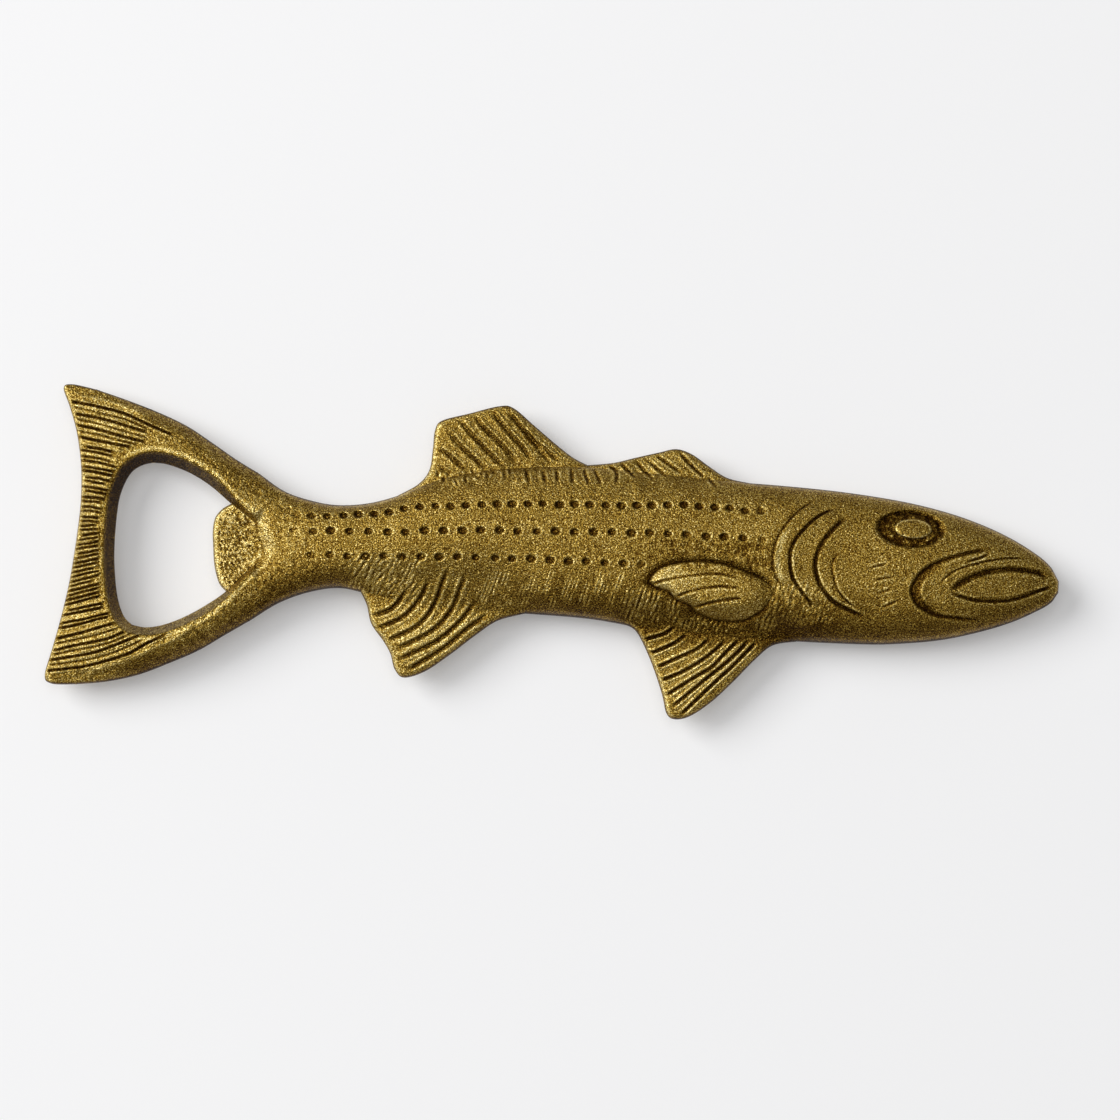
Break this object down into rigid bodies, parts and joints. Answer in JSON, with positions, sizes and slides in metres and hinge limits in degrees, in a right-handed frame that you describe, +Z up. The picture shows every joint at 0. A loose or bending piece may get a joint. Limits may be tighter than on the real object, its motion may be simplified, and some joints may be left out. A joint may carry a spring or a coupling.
{
  "type": "fish bottle opener",
  "caption": "Cast brass fish whose ring-shaped tail, with a tongue in its crotch, lifts crown caps; relief on both faces.",
  "frame": {"origin": "bottom centre of the bounding box, with the fish lying on its left flank", "axes": "+X from the tail to the snout, +Y towards the back (dorsal side), +Z up through the thickness"},
  "size_m": [0.165, 0.05, 0.011],
  "materials": {
    "aged_brass": "aged sand-cast brass, satin, dark in the recesses",
    "worn_brass": "rubbed bright on the high spots",
    "dark_brass": "coarse hammered texture, darkened"
  },
  "bodies": {
    "root": {"trunk": "aged_brass", "gill_cover": "aged_brass", "head": "aged_brass", "right_eye": "worn_brass", "left_eye": "worn_brass", "right_pectoral_fin": "worn_brass", "left_pectoral_fin": "worn_brass", "front_dorsal_fin": "aged_brass", "rear_dorsal_fin": "aged_brass", "anal_fin": "aged_brass", "pelvic_fin": "aged_brass", "cap_tongue": "dark_brass", "upper_tail_arm": "aged_brass", "lower_tail_arm": "aged_brass", "upper_tail_edge": "aged_brass", "lower_tail_edge": "aged_brass"}
  },
  "joints": []
}
